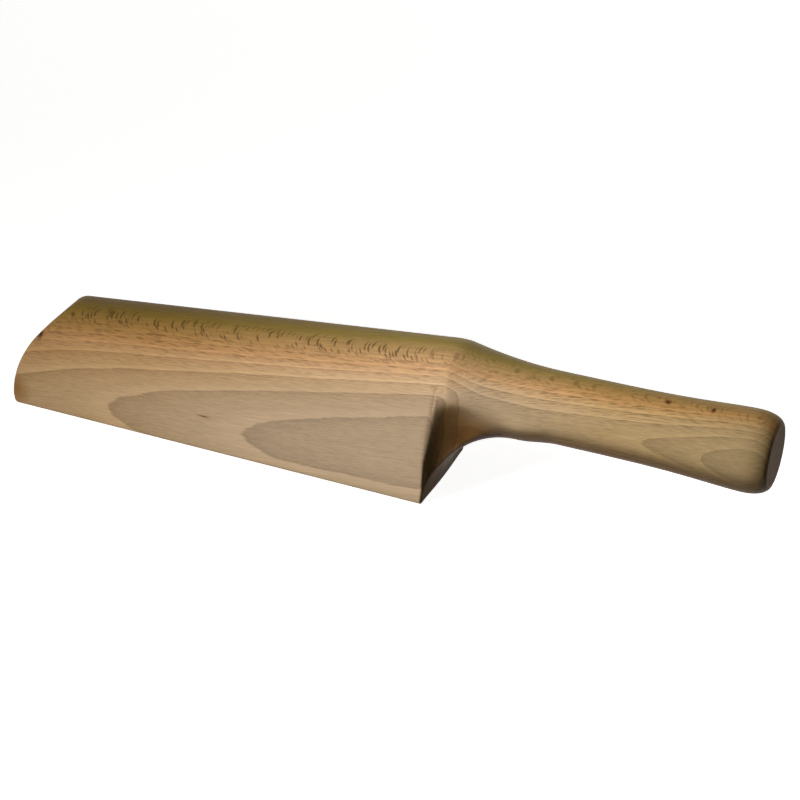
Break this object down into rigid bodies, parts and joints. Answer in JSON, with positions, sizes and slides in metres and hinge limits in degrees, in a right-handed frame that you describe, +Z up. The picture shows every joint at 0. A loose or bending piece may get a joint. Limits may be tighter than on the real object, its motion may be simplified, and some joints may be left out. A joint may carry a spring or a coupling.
{
  "type": "wooden dressing mallet",
  "caption": "One-piece beech beating mallet: a long wedge-shaped blade with a flat sole, a round back and a raked toe, and a turned handle in line with it, cut from one block",
  "frame": {"origin": "middle of the tool's length and width, on the surface that the sole rests on", "axes": "+X along the tool toward the end of the handle, +Y across it, +Z up from the sole to the back"},
  "size_m": [0.38, 0.054, 0.0744],
  "materials": {
    "beech": "waxed, worn satin"
  },
  "bodies": {
    "root": {"beech_body": "beech"}
  },
  "joints": []
}
